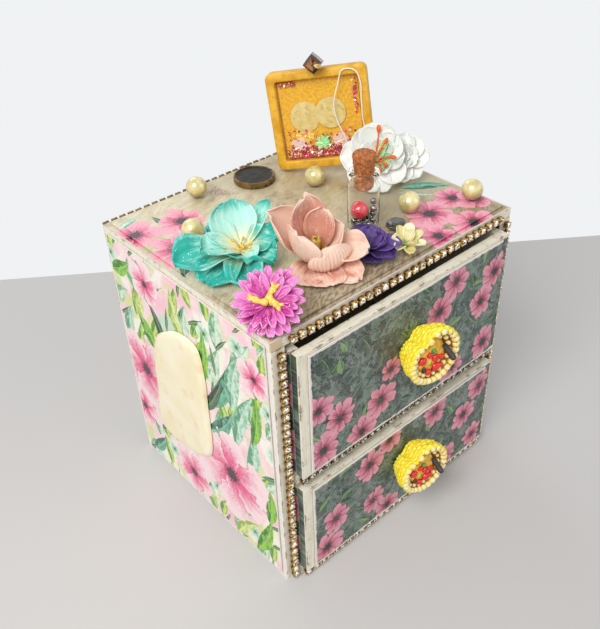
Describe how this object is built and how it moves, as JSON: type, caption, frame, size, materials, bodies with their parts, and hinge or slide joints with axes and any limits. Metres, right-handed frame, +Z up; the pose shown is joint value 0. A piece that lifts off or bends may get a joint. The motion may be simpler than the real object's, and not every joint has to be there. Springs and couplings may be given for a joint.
{
  "type": "miniature chest of drawers",
  "caption": "Miniature chest of drawers, papered and hand decorated: sliding drawers with clay bowl knobs, cup chain trim, and paper flowers, a corked vial, pearls and a small frame on top.",
  "frame": {"origin": "middle of the underside of the case", "axes": "+X to the right as seen from the front, -Y out of the drawer fronts, +Z up"},
  "size_m": [0.1041, 0.1053, 0.1421],
  "materials": {
    "cream_paint": "chalky cream paint on thin board, rubbed at the edges",
    "top_paper": "beige wood grain paper with flowers, glued down",
    "side_paper": "pale pink paper with flowers and leaves, glued down",
    "drawer_paper": "slate green paper with brush strokes and flowers",
    "cream_resin": "cast resin, soft sheen",
    "brass_cups": "polished stamped cups with clear stones",
    "yellow_clay": "baked polymer clay, roped",
    "orange_clay": "baked polymer clay with red berries",
    "dark_clay": "baked polymer clay",
    "mustard_card": "painted smooth",
    "clear_film": "clear window",
    "sequins": "sequins and glitter",
    "amber_crystal": "faceted",
    "white_thread": "twisted thread",
    "white_petals": "soft paper petals, orange stamens",
    "teal_petals": "soft paper petals, glitter",
    "peach_petals": "ribbed paper petals",
    "magenta_petals": "soft paper petals, glitter",
    "purple_petals": "soft paper petals",
    "cream_petals": "soft paper petals",
    "clear_glass": "clear",
    "cork": "stained cork",
    "red_pearl": "pearl coat",
    "dark_beads": "dark metal coat",
    "cream_pearl": "pearl coat",
    "dark_bronze": "patinated, bright rim",
    "dark_stone": "polished"
  },
  "bodies": {
    "case": {"back_board": "cream_paint", "back_paper": "side_paper", "bottom_board": "cream_paint", "cream_flower": "cream_petals", "crystal_bead": "amber_crystal", "dark_beads": "dark_beads", "dark_stone": "dark_stone", "left_side_board": "cream_paint", "left_side_paper": "side_paper", "magenta_daisy": "magenta_petals", "medal": "dark_bronze", "peach_flower": "peach_petals", "pearl_1": "cream_pearl", "pearl_2": "cream_pearl", "pearl_3": "cream_pearl", "pearl_4": "cream_pearl", "pearl_5": "cream_pearl", "purple_flower": "purple_petals", "red_bead": "red_pearl", "right_side_board": "cream_paint", "right_side_paper": "side_paper", "shaker_frame": "mustard_card", "shaker_sequins": "sequins", "shaker_window": "clear_film", "shelf_board": "cream_paint", "side_plaque": "cream_resin", "teal_flower": "teal_petals", "thread_loop": "white_thread", "top_board": "cream_paint", "top_paper": "top_paper", "trim_back_left": "brass_cups", "trim_back_right": "brass_cups", "trim_back_top": "brass_cups", "trim_bottom": "brass_cups", "trim_front_left": "brass_cups", "trim_front_right": "brass_cups", "trim_front_top": "brass_cups", "trim_shelf": "brass_cups", "vial_glass": "clear_glass", "white_flower": "white_petals"},
    "upper_drawer": {"upper_drawer_back": "cream_paint", "upper_drawer_bottom": "cream_paint", "upper_drawer_front": "cream_paint", "upper_drawer_left": "cream_paint", "upper_drawer_paper": "drawer_paper", "upper_drawer_right": "cream_paint", "upper_knob_bowl": "yellow_clay", "upper_knob_filling": "orange_clay", "upper_knob_peg": "dark_clay"},
    "lower_drawer": {"lower_drawer_back": "cream_paint", "lower_drawer_bottom": "cream_paint", "lower_drawer_front": "cream_paint", "lower_drawer_left": "cream_paint", "lower_drawer_paper": "drawer_paper", "lower_drawer_right": "cream_paint", "lower_knob_bowl": "yellow_clay", "lower_knob_filling": "orange_clay", "lower_knob_peg": "dark_clay"},
    "cork": {"vial_cork": "cork"}
  },
  "joints": [
    {"name": "upper_drawer_slide", "type": "slide", "parent": "case", "child": "upper_drawer", "axis": [0, -1, 0], "range_m": [0, 0.065]},
    {"name": "lower_drawer_slide", "type": "slide", "parent": "case", "child": "lower_drawer", "axis": [0, -1, 0], "range_m": [0, 0.065]},
    {"name": "cork_lift", "type": "slide", "parent": "case", "child": "cork", "axis": [0, 0, 1], "range_m": [0, 0.01]}
  ]
}
